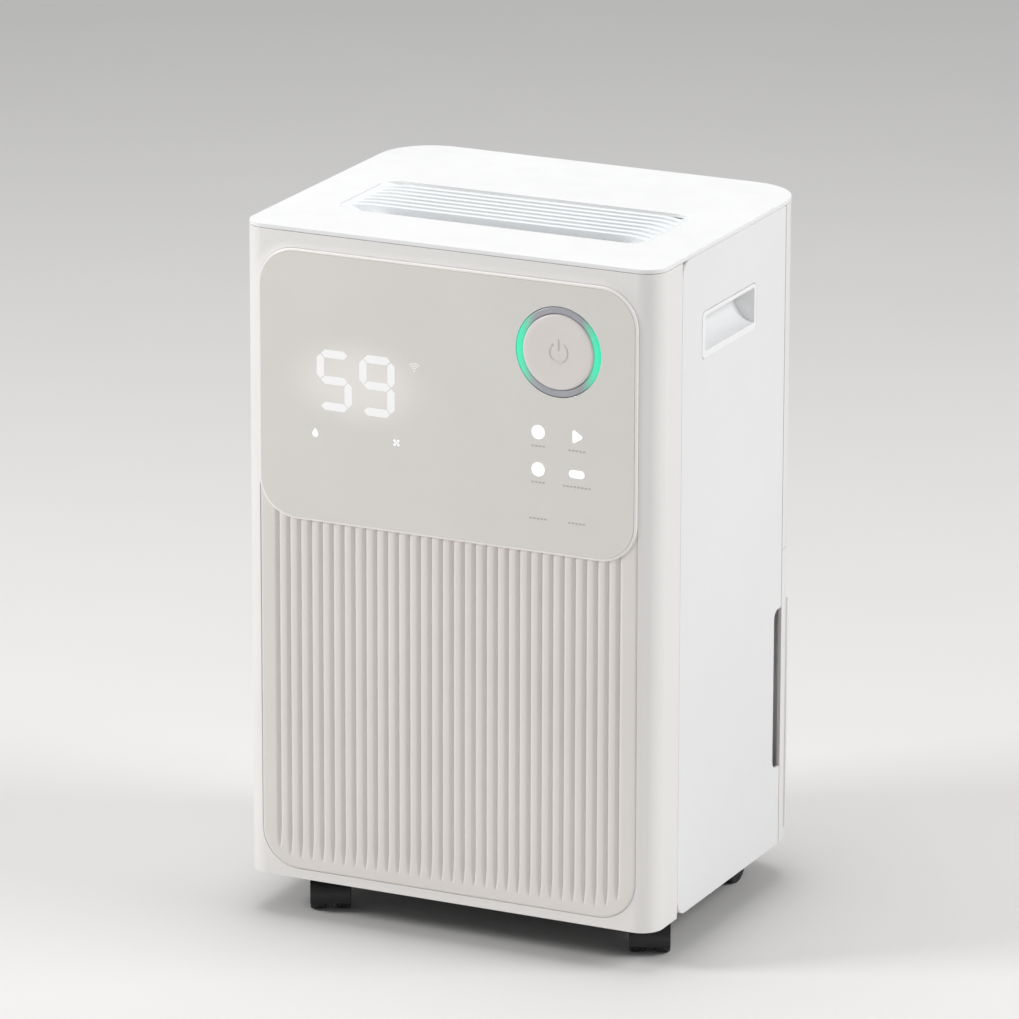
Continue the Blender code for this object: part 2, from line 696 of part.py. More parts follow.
def make_pipes():
    """The suction and discharge pipes between the compressor and the coils."""
    suction = [(-0.080, -0.050, 0.2015), (-0.080, -0.050, 0.222), (-0.100, -0.042, 0.250),
               (-0.124, -0.010, 0.262), (-0.124, 0.060, 0.275), (-0.119, 0.091, 0.287),
               (-0.110, 0.095, 0.290), (-0.1062, 0.095, 0.290)]
    add_part(tube("suction_pipe", smooth_route(suction), 0.004), COPPER)
    discharge = [(-0.050, -0.050, 0.2015), (-0.050, -0.050, 0.225), (-0.020, -0.048, 0.246),
                 (0.060, -0.040, 0.250), (0.110, -0.024, 0.256), (0.124, 0.010, 0.268),
                 (0.121, 0.054, 0.286), (0.111, 0.064, 0.290), (0.1062, 0.064, 0.290)]
    add_part(tube("discharge_pipe", smooth_route(discharge), 0.003), COPPER)


# --- Fan -----------------------------------------------------------------------------------------

def make_fan():
    """The scroll, the impeller on its shaft, and the motor."""
    low_x, high_x, low_y, high_y, low_z, high_z = SCROLL
    scroll = box("fan_scroll", low_x, high_x, low_y, high_y, low_z, high_z)
    chamber_r = FAN_R + 0.010
    inner_y = (low_y + 0.003, high_y - 0.003)
    cut(scroll, cylinder("chamber", (0, FAN_Z), chamber_r, *inner_y, "Y", 40))
    cut(scroll, box("outlet_duct", -chamber_r + 0.004, high_x - 0.003, *inner_y, FAN_Z + 0.02,
                    high_z + 0.01))
    cut(scroll, cylinder("inlet_hole", (0, FAN_Z), 0.058, high_y - 0.01, high_y + 0.01, "Y", 32))
    cut(scroll, cylinder("shaft_hole", (0, FAN_Z), 0.012, low_y - 0.01, low_y + 0.01, "Y", 20))
    add_part(scroll, WHITE)

    disc_y = low_y + 0.010
    rim_y = high_y - 0.012
    wheel = cylinder("fan_impeller", (0, FAN_Z), FAN_R, disc_y, rim_y, "Y", 36)
    cut(wheel, cylinder("eye", (0, FAN_Z), FAN_R - 0.012, disc_y + 0.003, rim_y + 0.01, "Y", 36))
    blades = 18
    slots = bmesh.new()
    for i in range(blades):
        made = bmesh.ops.create_cube(slots, size=1)["verts"]
        bmesh.ops.scale(slots, vec=(0.040, rim_y - disc_y - 0.010, 0.014), verts=made)
        bmesh.ops.translate(slots, vec=(FAN_R, 0, 0), verts=made)
        turn = Matrix.Rotation(math.tau * (i + 0.5) / blades, 3, "Y")
        bmesh.ops.rotate(slots, verts=made, matrix=turn)
    place = (0, (disc_y + rim_y) / 2, FAN_Z)
    cut(wheel, from_bmesh("blade_slots", slots, place))
    cut(wheel, cylinder("hub_bore", (0, FAN_Z), 0.0043, disc_y - 0.01, disc_y + 0.01, "Y", 16))
    add_part(set_origin(wheel, (0, disc_y, FAN_Z)), BLACK)

    shaft = cylinder("motor_shaft", (0, FAN_Z), 0.004, -0.088, disc_y + 0.008, "Y", 16)
    add_part(set_origin(shaft, (0, disc_y, FAN_Z)), STEEL)
    motor = cylinder("fan_motor", (0, FAN_Z), 0.036, -0.094, low_y - GAP, "Y", 32)
    cut(motor, cylinder("motor_bore", (0, FAN_Z), 0.0044, -0.0885, low_y + 0.01, "Y", 16))
    add_part(motor, STEEL)


def make_electrics():
    """The control box and the compressor's run capacitor."""
    add_part(box("control_box", 0.020, 0.120, -0.112, -0.072, 0.060, 0.180), BLACK)
    add_part(cylinder("run_capacitor", (0.090, -0.035), 0.020, TRAY_TOP + GAP, 0.110), ALUMINIUM)


# --- Casters -------------------------------------------------------------------------------------

def make_caster(name, x, y, angle):
    """A twin-wheel caster: a hooded fork on a stem, an axle and two wheels, trailing along angle."""
    turn = Matrix.Rotation(math.radians(angle), 4, "Z")
    pivot = bpy.data.objects.new("caster_" + name, None)
    pivot.location = (x, y, TRAY_LOW)
    PARTS.objects.link(pivot)
    centre = Vector((TRAIL, 0, WHEEL_R))
    half_width = WHEEL_GAP / 2 + WHEEL_WIDTH
    hood_r = WHEEL_R + 0.0024
    hood = arc(TRAIL, WHEEL_R, hood_r, -20, 200, 14) + arc(TRAIL, WHEEL_R, hood_r - 0.0016, 200,
                                                         -20, 14)
    fork = extrude("caster_" + name + "_fork", hood, -half_width, half_width, "Y")
    web = WHEEL_GAP / 2 - 0.0006
    join(fork, box("web", -0.0025, TRAIL + 0.0115, -web, web, 0.0060, 0.0262))
    join(fork, cylinder("stem", (0, 0), STEM_R, 0.0250, TRAY_TOP - 0.0005, "Z", 16))
    cut(fork, cylinder("axle_bore", (TRAIL, WHEEL_R), 0.0024, -0.02, 0.02, "Y", 12))
    axle = cylinder("caster_" + name + "_axle", (TRAIL, WHEEL_R), 0.0020, -half_width + 0.0015,
                    half_width - 0.0015, "Y", 12)
    pieces = [(fork, BLACK, (0, 0, 0)), (axle, STEEL, centre)]
    for letter, side in (("a", -1), ("b", 1)):
        edges = sorted((side * WHEEL_GAP / 2, side * half_width))
        sharp_r = WHEEL_R / math.cos(math.pi / WHEEL_SIDES)
        rim = arc(TRAIL, WHEEL_R, sharp_r, 270 + 180 / WHEEL_SIDES, 630 + 180 / WHEEL_SIDES,
                  WHEEL_SIDES)[:-1]
        wheel = extrude("caster_" + name + "_wheel_" + letter, rim, *edges, "Y",
                        [circle(TRAIL, WHEEL_R, 0.0023, 12)])
        pieces.append((wheel, BLACK, centre + Vector((0, side * (edges[1] - edges[0]) / 2, 0))))
    place = Matrix.Translation((x, y, 0)) @ turn
    for obj, mat, origin in pieces:
        set_origin(obj, origin)
        for step in obj.modifiers:
            step.object.matrix_world = place @ step.object.matrix_basis
        obj.matrix_world = place @ obj.matrix_basis
        obj.parent = pivot
        obj.matrix_parent_inverse = Matrix.Translation(-pivot.location)
        add_part(obj, mat)


def smooth_round_parts():
    """Shade every piece smooth, with its real edges kept sharp."""
    for obj in PARTS.objects:
        if obj.type == "MESH":
            obj.data.shade_smooth()
            obj.data.set_sharp_from_angle(angle=math.radians(35))


make_front_frame()
make_fluted_panel()
make_control_panel()
make_button()
make_top()
make_side("left", -1)
make_side("right", 1)
make_rear()
make_intake()
make_tank()
make_tank_cover()
make_tank_fittings()
make_base()
make_drip_tray()
make_exchanger("evaporator", 0.082, 0.106)
make_exchanger("condenser", 0.054, 0.078)
make_compressor()
make_pipes()
make_fan()
make_electrics()
for caster in CASTERS:
    make_caster(*caster)
smooth_round_parts()
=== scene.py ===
"""The looks of the dehumidifier: fine shells, procedural materials, light, floor and camera.

Everything is in metres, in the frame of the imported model: +Z up, the front faces -Y.
"""
import math

import bmesh
import bpy
from mathutils import Matrix, Vector


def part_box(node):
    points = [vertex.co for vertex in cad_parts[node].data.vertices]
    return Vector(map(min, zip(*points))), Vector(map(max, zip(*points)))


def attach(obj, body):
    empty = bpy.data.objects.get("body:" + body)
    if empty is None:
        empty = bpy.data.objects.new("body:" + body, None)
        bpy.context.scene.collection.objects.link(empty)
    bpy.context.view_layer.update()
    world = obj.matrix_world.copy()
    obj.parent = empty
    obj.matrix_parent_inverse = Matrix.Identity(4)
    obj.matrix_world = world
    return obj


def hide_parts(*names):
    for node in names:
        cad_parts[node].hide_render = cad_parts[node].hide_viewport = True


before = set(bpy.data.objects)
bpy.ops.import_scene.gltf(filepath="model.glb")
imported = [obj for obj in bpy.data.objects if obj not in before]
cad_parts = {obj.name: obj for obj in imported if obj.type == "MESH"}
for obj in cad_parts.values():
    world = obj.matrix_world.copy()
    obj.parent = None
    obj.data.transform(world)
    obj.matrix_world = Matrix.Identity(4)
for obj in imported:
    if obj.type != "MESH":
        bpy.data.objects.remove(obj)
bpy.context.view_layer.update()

# --- Driving sizes, most of them read from the frame ---------------------------------------------

COVER_LOW, COVER_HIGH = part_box("top_cover")
INSERT_LOW, INSERT_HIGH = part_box("fluted_panel")
BEZEL_LOW, BEZEL_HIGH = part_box("panel_bezel")
GLASS_LOW, GLASS_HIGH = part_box("control_panel")
RING_LOW, RING_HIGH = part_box("button_light_ring")
BUTTON_LOW, BUTTON_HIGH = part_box("power_button")
LOUVRE_LOW, LOUVRE_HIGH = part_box("outlet_grille")

HALF_W = COVER_HIGH.x
TOP_Z = COVER_HIGH.z
SEAM_Z = COVER_LOW.z
FACE_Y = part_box("front_frame")[0].y
BUTTON_X = (RING_LOW.x + RING_HIGH.x) / 2
BUTTON_Z = (RING_LOW.z + RING_HIGH.z) / 2
RING_R = (RING_HIGH.x - RING_LOW.x) / 2
CAP_R = (BUTTON_HIGH.x - BUTTON_LOW.x) / 2
GLASS_Y = GLASS_LOW.y

# The corner radii of the frame, seen from above, and of the insert's outline, seen from the front.
FRONT_R, INSERT_R = 0.015, 0.027
# The middle of the humidity reading, and the columns and rows of the touch keys.
DIGITS_X, DIGITS_Z = -0.0650, 0.3783
KEY_LEFT_X, KEY_RIGHT_X = 0.0668, 0.0944
KEY_UPPER_Z, KEY_LOWER_Z = 0.3620, 0.3369


# --- Mesh helpers --------------------------------------------------------------------------------

def link(name, mesh):
    """A new object of a mesh, in the scene."""
    obj = bpy.data.objects.new(name, mesh)
    bpy.context.scene.collection.objects.link(obj)
    return obj


def from_bmesh(name, work, angle=35.0):
    """A new object of a finished bmesh, shaded smooth with its sharp edges kept."""
    bmesh.ops.recalc_face_normals(work, faces=work.faces)
    mesh = bpy.data.meshes.new(name)
    work.to_mesh(mesh)
    work.free()
    mesh.shade_smooth()
    mesh.set_sharp_from_angle(angle=math.radians(angle))
    return link(name, mesh)


def soften(obj, width, segments=3, angle=35.0):
    """Round an object's sharp edges, and keep its large faces flat in the light."""
    sharp = obj.data.attributes.get("sharp_edge")
    if sharp:
        obj.data.attributes.remove(sharp)
    bevel = obj.modifiers.new("soften", "BEVEL")
    bevel.width = width
    bevel.segments = segments
    bevel.limit_method = "ANGLE"
    bevel.angle_limit = math.radians(angle)
    bevel.use_clamp_overlap = True
    weighted = obj.modifiers.new("weighted", "WEIGHTED_NORMAL")
    weighted.weight = 100
    bpy.context.view_layer.update()
    graph = bpy.context.evaluated_depsgraph_get()
    mesh = bpy.data.meshes.new_from_object(obj.evaluated_get(graph))
    obj.modifiers.clear()
    obj.data = mesh
    return obj


def arc(centre_x, centre_y, radius, start, end, steps=12):
    """Points on an arc, angles in degrees."""
    points = []
    for i in range(steps + 1):
        angle = math.radians(start + (end - start) * i / steps)
        points.append((centre_x + radius * math.cos(angle), centre_y + radius * math.sin(angle)))
    return points


def circle(centre_x, centre_y, radius, steps=96):
    """Points on a full circle."""
    return arc(centre_x, centre_y, radius, 0, 360, steps)[:-1]


def rounded(low_x, high_x, low_y, high_y, radius, steps=12):
    """A rectangle with rounded corners, counter-clockwise from the low corner."""
    corners = ((low_x, low_y, 1, 1, 180), (high_x, low_y, -1, 1, 270),
               (high_x, high_y, -1, -1, 0), (low_x, high_y, 1, -1, 90))
    points = []
    for x, y, side_x, side_y, start in corners:
        points += arc(x + side_x * radius, y + side_y * radius, radius, start, start + 90, steps)
    return points


# Turns that make a drawing in the XY plane face along an axis.
BASES = {
    "Y": Matrix(((1, 0, 0), (0, 0, -1), (0, 1, 0))),
    "Z": Matrix.Identity(3),
}


def extrude(name, outline, low, high, axis="Z", holes=()):
    """A flat outline, drawn in the two other axes in order, extruded along an axis."""
    curve = bpy.data.curves.new(name, "CURVE")
    curve.dimensions = "2D"
    curve.fill_mode = "BOTH"
    curve.extrude = (high - low) / 2
    for points in (outline, *holes):
        spline = curve.splines.new("POLY")
        spline.points.add(len(points) - 1)
        for point, (x, y) in zip(spline.points, points):
            point.co = (x, y, 0, 1)
        spline.use_cyclic_u = True
    source = bpy.data.objects.new(name, curve)
    bpy.context.scene.collection.objects.link(source)
    bpy.context.view_layer.update()
    graph = bpy.context.evaluated_depsgraph_get()
    mesh = bpy.data.meshes.new_from_object(source.evaluated_get(graph))
    bpy.data.objects.remove(source, do_unlink=True)
    work = bmesh.new()
    work.from_mesh(mesh)
    bmesh.ops.remove_doubles(work, verts=work.verts, dist=0.000005)
    bmesh.ops.recalc_face_normals(work, faces=work.faces)
    bmesh.ops.dissolve_limit(work, angle_limit=0.001, verts=work.verts, edges=work.edges)
    middle = Vector([(low + high) / 2 if letter == axis else 0 for letter in "XYZ"])
    bmesh.ops.transform(work, matrix=Matrix.Translation(middle) @ BASES[axis].to_4x4(),
                        verts=work.verts)
    return from_bmesh(name, work)


def lathe(name, profile, place, axis="Z", steps=96, angle=35.0):
    """A closed turned solid: profile points are (radius, height), turned about an axis at place."""
    work = bmesh.new()
    rings = []
    for radius, height in profile:
        if radius < 1e-7:
            rings.append([work.verts.new((0, 0, height))])
            continue
        ring = []
        for i in range(steps):
            turn = math.tau * i / steps
            ring.append(work.verts.new((radius * math.cos(turn), radius * math.sin(turn), height)))
        rings.append(ring)
    for one, two in zip(rings, rings[1:]):
        for i in range(steps):
            j = (i + 1) % steps
            corners = [one[i % len(one)], one[j % len(one)], two[j % len(two)], two[i % len(two)]]
            unique = list(dict.fromkeys(corners))
            if len(unique) > 2:
                work.faces.new(unique)
    if len(rings[0]) > 1 and len(rings[-1]) > 1:
        for i in range(steps):
            j = (i + 1) % steps
            work.faces.new([rings[-1][i], rings[-1][j], rings[0][j], rings[0][i]])
    turn = Matrix.Rotation(math.radians(90), 4, "X") if axis == "Y" else Matrix.Identity(4)
    bmesh.ops.transform(work, matrix=Matrix.Translation(Vector(place)) @ turn, verts=work.verts)
    return from_bmesh(name, work, angle)


def loft(name, rings, filled=True):
    """A skin over rings of points that have equal counts, with its two ends filled if asked."""
    work = bmesh.new()
    made = [[work.verts.new(p) for p in ring] for ring in rings]
    count = len(rings[0])
    for one, two in zip(made, made[1:]):
        for i in range(count):
            j = (i + 1) % count
            work.faces.new([one[i], one[j], two[j], two[i]])
    if filled:
        work.faces.new(made[0][::-1])
        work.faces.new(made[-1])
    return from_bmesh(name, work)


def finish_piece(obj, material, body, nodes=()):
    """Dress a piece, let it ride on its body, and hide the frame nodes that it stands for."""
    obj.data.materials.clear()
    obj.data.materials.append(material)
    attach(obj, body)
    if nodes:
        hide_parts(*nodes)
    return obj


# --- Materials -----------------------------------------------------------------------------------

class Shader:
    """A Principled material and short calls that add nodes to it."""

    def __init__(self, name, color, roughness, metallic=0.0):
        self.material = bpy.data.materials.new(name)
        self.material.use_nodes = True
        self.tree = self.material.node_tree
        self.main = self.tree.nodes["Principled BSDF"]
        self.color = (*color, 1.0)
        self.main.inputs["Base Color"].default_value = self.color
        self.main.inputs["Roughness"].default_value = roughness
        self.main.inputs["Metallic"].default_value = metallic
        self.where = self.tree.nodes.new("ShaderNodeTexCoord").outputs["Object"]

    def node(self, kind, **settings):
        """A node with some of its settings."""
        node = self.tree.nodes.new(kind)
        for key, value in settings.items():
            setattr(node, key, value)
        return node

    def math(self, operation, *values):
        """A Math node; each value is a number or a socket."""
        node = self.node("ShaderNodeMath", operation=operation)
        for i, value in enumerate(values):
            if isinstance(value, (int, float)):
                node.inputs[i].default_value = value
            else:
                self.tree.links.new(value, node.inputs[i])
        return node.outputs[0]

    def noise(self, scale, detail=2.0, stretch=None):
        """A noise value over the object's own coordinates, which are in metres."""
        node = self.node("ShaderNodeTexNoise")
        node.inputs["Scale"].default_value = scale
        node.inputs["Detail"].default_value = detail
        source = self.where
        if stretch:
            mapping = self.node("ShaderNodeMapping")
            mapping.inputs["Scale"].default_value = stretch
            self.tree.links.new(source, mapping.inputs["Vector"])
            source = mapping.outputs[0]
        self.tree.links.new(source, node.inputs["Vector"])
        return node.outputs["Fac"]

    def axes(self):
        """The object coordinates as three sockets."""
        node = self.node("ShaderNodeSeparateXYZ")
        self.tree.links.new(self.where, node.inputs[0])
        return node.outputs

    def smooth(self, value, low, high):
        """A smooth step from 0 to 1."""
        node = self.node("ShaderNodeMapRange", interpolation_type="SMOOTHSTEP")
        self.tree.links.new(value, node.inputs["Value"])
        node.inputs["From Min"].default_value = low
        node.inputs["From Max"].default_value = high
        return node.outputs["Result"]

    def mix(self, factor, first, second):
        """A colour between two; each is a colour or a socket."""
        node = self.node("ShaderNodeMix", data_type="RGBA")
        self.tree.links.new(factor, node.inputs["Factor"])
        for key, value in (("A", first), ("B", second)):
            socket = [s for s in node.inputs if s.name == key and s.type == "RGBA"][0]
            if isinstance(value, tuple):
                socket.default_value = (*value[:3], 1.0)
            else:
                self.tree.links.new(value, socket)
        return [s for s in node.outputs if s.type == "RGBA"][0]

    def tint(self, scale, amount, detail=3.0):
        """Vary the base colour a little, in soft patches."""
        dark = tuple(c * (1 - amount) for c in self.color[:3])
        light = tuple(min(1.0, c * (1 + amount)) for c in self.color[:3])
        spread = self.smooth(self.noise(scale, detail), 0.3, 0.7)
        color = self.mix(spread, dark, light)
        self.tree.links.new(color, self.main.inputs["Base Color"])
        return color

    def rough(self, scale, low, high, detail=3.0, stretch=None):
        """Vary the roughness between two values."""
        node = self.node("ShaderNodeMapRange")
        self.tree.links.new(self.noise(scale, detail, stretch), node.inputs["Value"])
        node.inputs["From Min"].default_value = 0.3
        node.inputs["From Max"].default_value = 0.7
        node.inputs["To Min"].default_value = low
        node.inputs["To Max"].default_value = high
        self.tree.links.new(node.outputs["Result"], self.main.inputs["Roughness"])

    def bump(self, height, distance, strength, below=None):
        """Add a bump, over another one if given."""
        node = self.node("ShaderNodeBump")
        node.inputs["Distance"].default_value = distance
        node.inputs["Strength"].default_value = strength
        self.tree.links.new(height, node.inputs["Height"])
        if below is not None:
            self.tree.links.new(below, node.inputs["Normal"])
        self.tree.links.new(node.outputs[0], self.main.inputs["Normal"])
        return node.outputs[0]


def moulded(name, color, roughness, grain=0.00003, grain_scale=2200):
    """Moulded plastic: a fine spark-eroded grain, faint flow waves, and slightly uneven gloss."""
    s = Shader(name, color, roughness)
    s.tint(9.0, 0.012)
    s.rough(60.0, roughness - 0.05, roughness + 0.05)
    waves = s.bump(s.noise(14.0, 1.0), 0.0004, 0.35)
    s.bump(s.noise(grain_scale, 2.0), grain, 0.6, waves)
    s.main.inputs["Specular IOR Level"].default_value = 0.45
    return s.material


def metal(name, color, roughness, stretch, scale=900):
    """Drawn or brushed metal, with fine lines along one way."""
    s = Shader(name, color, roughness, 1.0)
    s.tint(25.0, 0.06, 4.0)
    s.rough(scale, roughness - 0.08, roughness + 0.10, 2.0, stretch)
    s.bump(s.noise(scale, 2.0, stretch), 0.00004, 0.5)
    return s.material


def glowing(name, color, strength):
    """A lit display element, a little uneven in its brightness."""
    s = Shader(name, (0.85, 0.85, 0.85), 0.3)
    s.main.inputs["Emission Color"].default_value = (*color, 1.0)
    shade = s.node("ShaderNodeMapRange")
    s.tree.links.new(s.noise(220.0, 1.0), shade.inputs["Value"])
    shade.inputs["To Min"].default_value = strength * 0.94
    shade.inputs["To Max"].default_value = strength * 1.06
    s.tree.links.new(shade.outputs["Result"], s.main.inputs["Emission Strength"])
    return s.material


# Painted light in part: the shell's white is tinted warmer than the neutral side white, for warm
# light bounced up from a floor.
WHITE = moulded("white_shell_warm_bounce", (0.868, 0.850, 0.832), 0.42)
SIDE_WHITE = moulded("white_side", (0.870, 0.870, 0.872), 0.42)
# Painted light: the top's white is brighter than the side white, for the strong light that falls on
# it from above.
TOP_LIT_WHITE = moulded("white_top_painted_light", (0.90, 0.90, 0.90), 0.40)
FLUTED = moulded("fluted_shell", (0.80, 0.765, 0.735), 0.46, 0.00002)
# Painted highlight in part: the rim is paler than the white shell, for the light that its rounded
# edge catches.
BEZEL = moulded("bezel_rim_painted_highlight", (0.93, 0.90, 0.875), 0.32, 0.00001)
CAP = moulded("button_cap", (0.80, 0.752, 0.727), 0.40, 0.00002)
# Painted shade: the raised symbol is the cap's own plastic, drawn a little darker for the shade
# along its strokes.
SHADED_CAP_MARK = moulded("button_mark_painted_shade", (0.74, 0.70, 0.67), 0.30, 0.000005)
# Painted light: the handle cups' white is brighter than the shell's, for the light that falls into
# their scoops.
CUP_LIT_WHITE = moulded("white_cup_painted_light", (0.94, 0.945, 0.95), 0.40)
LOUVRE = moulded("louvre_white", (0.87, 0.89, 0.90), 0.45)
TANK = moulded("tank_grey_white", (0.80, 0.82, 0.84), 0.30, 0.00001)
BLACK = moulded("black_moulded", (0.012, 0.012, 0.013), 0.5, 0.00005, 1500)
CASTER = moulded("caster_nylon", (0.010, 0.010, 0.011), 0.36, 0.00003, 1500)
TREAD = moulded("wheel_nylon", (0.016, 0.016, 0.017), 0.55, 0.00006, 1200)
RUBBER = moulded("soft_rubber", (0.028, 0.028, 0.030), 0.75, 0.00006, 1300)
HANDLE = moulded("bail_grey", (0.62, 0.64, 0.66), 0.38)
FOAM = moulded("float_foam", (0.16, 0.33, 0.62), 0.85, 0.0002, 700)
LEGEND = moulded("legend_ink", (0.50, 0.47, 0.43), 0.5, 0.000005)
ENAMEL = moulded("compressor_enamel", (0.014, 0.014, 0.016), 0.28, 0.00005, 500)
STEEL = metal("zinc_steel", (0.60, 0.61, 0.63), 0.34, (1, 1, 12))
COPPER = metal("drawn_copper", (0.80, 0.42, 0.27), 0.30, (6, 6, 6), 300)
DIGITS = glowing("display_segments", (1.0, 0.985, 0.99), 0.20)
ICONS = glowing("touch_icons", (0.97, 1.0, 1.0), 0.42)
FAINT_ICONS = glowing("faint_icons", (0.90, 0.97, 0.93), 0.14)


def glass_material():
    """The touch panel: a pearly, glossy plate with a soft glow round the lit digits."""
    s = Shader("panel_glass", (0.755, 0.735, 0.695), 0.14)
    s.tint(16.0, 0.012)
    s.rough(45.0, 0.10, 0.17)
    s.main.inputs["Coat Weight"].default_value = 0.7
    s.main.inputs["Coat Roughness"].default_value = 0.06
    s.bump(s.noise(9.0, 1.0), 0.0003, 0.25)
    x, _, z = s.axes()
    across = s.math("MULTIPLY", s.math("SUBTRACT", x, DIGITS_X), 0.62)
    up = s.math("SUBTRACT", z, DIGITS_Z)
    far = s.math("SQRT", s.math("ADD", s.math("POWER", across, 2.0), s.math("POWER", up, 2.0)))
    near = s.math("SUBTRACT", 1.0, s.smooth(far, 0.010, 0.036))
    s.main.inputs["Emission Color"].default_value = (1.0, 0.95, 0.91, 1.0)
    s.tree.links.new(s.math("MULTIPLY", near, 0.11), s.main.inputs["Emission Strength"])
    return s.material


def ring_material():
    """The light ring: a milky grey guide that glows green towards its left and right."""
    s = Shader("light_ring", (0.42, 0.43, 0.47), 0.28)
    s.rough(200.0, 0.22, 0.34)
    side = s.math("ABSOLUTE", s.math("SUBTRACT", s.axes()[0], BUTTON_X))
    lit_share = s.smooth(side, RING_R * 0.50, RING_R * 0.99)
    color = s.mix(lit_share, s.tint(70.0, 0.04), (0.03, 0.30, 0.17))
    s.tree.links.new(color, s.main.inputs["Base Color"])
    s.main.inputs["Emission Color"].default_value = (0.03, 0.86, 0.50, 1.0)
    s.tree.links.new(s.math("MULTIPLY", lit_share, 0.75), s.main.inputs["Emission Strength"])
    return s.material


def fins_material():
    """Stacked aluminium fins: fine bright edges, with painted shade in the dark gaps between them.
    """
    s = Shader("aluminium_fins_painted_gap_shade", (0.70, 0.72, 0.74), 0.38, 1.0)
    x = s.axes()[0]
    wave = s.math("SINE", s.math("MULTIPLY", x, math.tau / 0.0018))
    fin = s.smooth(wave, -0.5, 0.5)
    patches = s.smooth(s.noise(30.0, 4.0), 0.3, 0.7)
    bright = s.mix(patches, (0.66, 0.68, 0.70), (0.78, 0.80, 0.82))
    # Painted shade: the near-black stripes between the fins stand for the shade deep in the gaps.
    s.tree.links.new(s.mix(fin, (0.05, 0.05, 0.055), bright), s.main.inputs["Base Color"])
    s.rough(400.0, 0.30, 0.48)
    s.bump(fin, 0.0006, 0.9)
    return s.material


def mesh_material():
    """The air filter: a fine woven net, its holes painted dark as the shade seen through them."""
    s = Shader("filter_net_painted_hole_shade", (0.10, 0.11, 0.12), 0.7)
    x, _, z = s.axes()
    across = s.math("ABSOLUTE", s.math("SINE", s.math("MULTIPLY", x, math.pi / 0.0015)))
    down = s.math("ABSOLUTE", s.math("SINE", s.math("MULTIPLY", z, math.pi / 0.0015)))
    thread = s.math("SUBTRACT", 1.0, s.smooth(s.math("MINIMUM", across, down), 0.25, 0.6))
    # Painted shade: the holes are near-black for the shade seen through them.
    color = s.mix(thread, (0.015, 0.015, 0.016), (0.16, 0.17, 0.18))
    s.tree.links.new(color, s.main.inputs["Base Color"])
    s.rough(300.0, 0.6, 0.8)
    s.bump(thread, 0.0003, 0.9)
    return s.material


def board_material():
    """A circuit board: green resist over faint copper tracks."""
    s = Shader("board_resist", (0.02, 0.16, 0.07), 0.32)
    x, _, z = s.axes()
    lines = s.math("SINE", s.math("MULTIPLY", s.math("ADD", x, z), math.tau / 0.004))
    track = s.math("MULTIPLY", s.smooth(lines, 0.55, 0.8), s.smooth(s.noise(60.0, 1.0), 0.5, 0.55))
    s.tree.links.new(s.mix(track, (0.015, 0.13, 0.055), (0.04, 0.26, 0.11)),
                     s.main.inputs["Base Color"])
    s.rough(150.0, 0.25, 0.42)
    s.bump(track, 0.00008, 0.8)
    return s.material


def floor_material():
    """A plain pale matt floor."""
    s = Shader("pale_floor", (0.78, 0.77, 0.76), 0.85)
    s.tint(1.5, 0.008)
    s.rough(8.0, 0.8, 0.9)
    return s.material


GLASS = glass_material()
RING = ring_material()
FINS = fins_material()
NET = mesh_material()
BOARD = board_material()


# --- Shell: finer copies of the frame's own parts ------------------------------------------------

def refined(node, width, segments=2):
    """A finer copy of a frame node: the same faces, with the sharp edges rounded."""
    work = bmesh.new()
    work.from_mesh(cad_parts[node].data)
    bmesh.ops.remove_doubles(work, verts=work.verts, dist=0.00001)
    bmesh.ops.dissolve_limit(work, angle_limit=math.radians(1), verts=work.verts,
                             edges=work.edges)
    return soften(from_bmesh(node + "_fine", work), width, segments)


def dress(node, width, material, body, segments=2):
    """Replace a frame node by its finer copy."""
    return finish_piece(refined(node, width, segments), material, body, (node,))


def paint(node, material):
    """Give a frame node that stays a better material."""
    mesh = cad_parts[node].data
    mesh.materials.clear()
    mesh.materials.append(material)


def insert_edge(inset, low=None):
    """The outline that the recess, the insert and the panel share, moved in by inset."""
    bottom = INSERT_LOW.z if low is None else low
    return rounded(INSERT_LOW.x + inset, INSERT_HIGH.x - inset, bottom + inset,
                   INSERT_HIGH.z - inset, INSERT_R - inset)


def make_shell():
    """The white shell's panels."""
    dress("front_frame", 0.0008, WHITE, "body", 3)
    dress("top_cover", 0.0014, TOP_LIT_WHITE, "body", 3)
    dress("rear_panel", 0.0007, WHITE, "body", 3)
    dress("tank_cover", 0.0007, WHITE, "tank", 3)
    for side in ("left", "right"):
        dress(side + "_side_panel", 0.0008, SIDE_WHITE, "body", 3)
        dress(side + "_handle_cup", 0.0006, CUP_LIT_WHITE, "body", 3)
    dress("intake_grille", 0.0006, WHITE, "filter", 2)


def ease(value, low, high):
    """A smooth step from 0 to 1."""
    t = min(1.0, max(0.0, (value - low) / (high - low)))
    return t * t * (3 - 2 * t)


def frame_depth(x):
    """How far back the frame's face lies at x: nothing, until its rounded front corners begin."""
    reach = abs(x) - (HALF_W - FRONT_R)
    if reach <= 0:
        return 0.0
    return FRONT_R - math.sqrt(max(0.0, FRONT_R ** 2 - reach ** 2))


